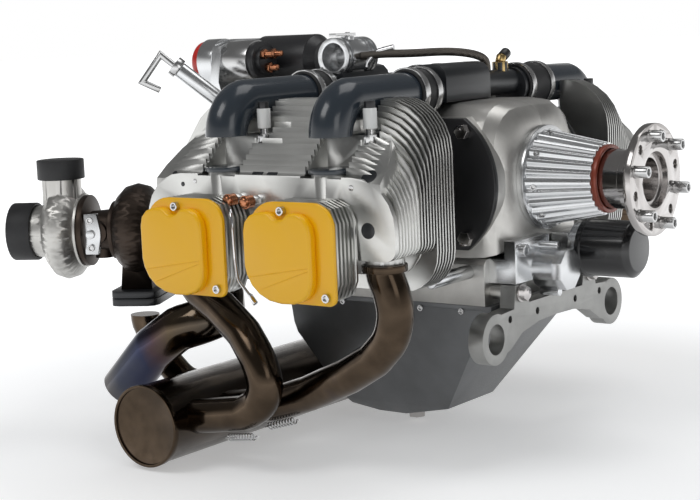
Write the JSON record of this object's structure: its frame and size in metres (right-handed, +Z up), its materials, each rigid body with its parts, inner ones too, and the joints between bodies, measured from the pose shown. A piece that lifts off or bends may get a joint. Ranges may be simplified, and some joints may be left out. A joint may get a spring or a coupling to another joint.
{
  "type": "horizontally opposed aircraft engine",
  "caption": "Air-cooled flat-four aircraft engine with yellow rocker covers, finned heads, propeller flange, turbocharger and bronze exhaust.",
  "frame": {"origin": "centre of the propeller flange's front face, on the crankshaft's axis", "axes": "+X forward along the crankshaft towards the propeller, +Y towards the far cylinder bank, +Z up, from the sump to the intake pipes"},
  "size_m": [0.7857, 0.684, 0.4794],
  "materials": {
    "black_casting": "black casting, satin",
    "black_cylinder": "black coating, satin",
    "black_rubber": "matt black rubber",
    "bright_steel": "bright zinc-plated steel",
    "cap_red": "red gloss cap",
    "cast_aluminium": "cast and machined, satin",
    "cast_iron_brown": "cast iron, heat browned",
    "cover_yellow": "yellow powder coat, glossy",
    "filter_black": "gloss black paint",
    "grey_coat": "dark grey powder coat, semi-gloss",
    "hot_steel": "heat-tinted stainless tube",
    "machined_aluminium": "bead-blasted and machined",
    "polished_steel": "polished, brushed round the flange",
    "seal_red": "dark red lacquer",
    "white_ceramic": "glossy white ceramic"
  },
  "bodies": {
    "engine": {"barrel_1": "black_cylinder", "barrel_2": "black_cylinder", "barrel_3": "black_cylinder", "barrel_4": "black_cylinder", "centre_housing": "cast_aluminium", "compressor_housing": "cast_aluminium", "crankcase_far": "cast_aluminium", "crankcase_near": "cast_aluminium", "dipstick_tube": "machined_aluminium", "exhaust_collector": "hot_steel", "exhaust_header_1": "hot_steel", "exhaust_header_2": "hot_steel", "exhaust_header_3": "hot_steel", "exhaust_header_4": "hot_steel", "fasteners": "bright_steel", "filter_adapter": "machined_aluminium", "head_1": "cast_aluminium", "head_2": "cast_aluminium", "head_3": "cast_aluminium", "head_4": "cast_aluminium", "hose_clamps": "bright_steel", "inlet_hose": "black_rubber", "intake_manifold": "black_casting", "intake_pipe_1": "grey_coat", "intake_pipe_2": "grey_coat", "intake_pipe_3": "grey_coat", "intake_pipe_4": "grey_coat", "mount_beam": "machined_aluminium", "nose_housing": "machined_aluminium", "nose_seal": "seal_red", "oil_filter": "filter_black", "oil_pump": "machined_aluminium", "outlet_cap": "black_casting", "plug_caps": "white_ceramic", "pushrod_tubes": "grey_coat", "rear_housing": "machined_aluminium", "rocker_cover_1": "cover_yellow", "rocker_cover_2": "cover_yellow", "rocker_cover_3": "cover_yellow", "rocker_cover_4": "cover_yellow", "rubber_sleeves": "black_rubber", "solenoid": "bright_steel", "solenoid_rear_cap": "cap_red", "solenoid_terminals": "bright_steel", "spark_plugs": "bright_steel", "starter_bracket": "machined_aluminium", "starter_motor": "black_casting", "sump": "grey_coat", "tail_pipe": "hot_steel", "throttle_body": "grey_coat", "turbine_housing": "cast_iron_brown", "turbo_flange": "black_casting", "turbo_riser": "hot_steel", "vacuum_hose": "black_rubber"},
    "crank": {"propeller_shaft": "polished_steel", "drive_lugs": "polished_steel", "flywheel": "bright_steel"},
    "turbo_rotor": {"turbo_rotor": "bright_steel"},
    "throttle_valve": {"throttle_valve": "bright_steel"},
    "dipstick": {"dipstick": "grey_coat"}
  },
  "joints": [
    {"name": "crank_spin", "type": "hinge", "parent": "engine", "child": "crank", "pos_m": [-0.09, 0, 0], "axis": [1, 0, 0], "continuous": true},
    {"name": "turbo_spin", "type": "hinge", "parent": "engine", "child": "turbo_rotor", "pos_m": [-0.609, -0.185, -0.057], "axis": [-0.891, -0.454, 0], "continuous": true},
    {"name": "throttle_turn", "type": "hinge", "parent": "engine", "child": "throttle_valve", "pos_m": [-0.38, -0.046, 0.145], "axis": [0, 0, 1], "range_deg": [0, 80]},
    {"name": "dipstick_slide", "type": "slide", "parent": "engine", "child": "dipstick", "axis": [-0.5842, -0.4903, 0.6468], "range_m": [0, 0.17]}
  ]
}
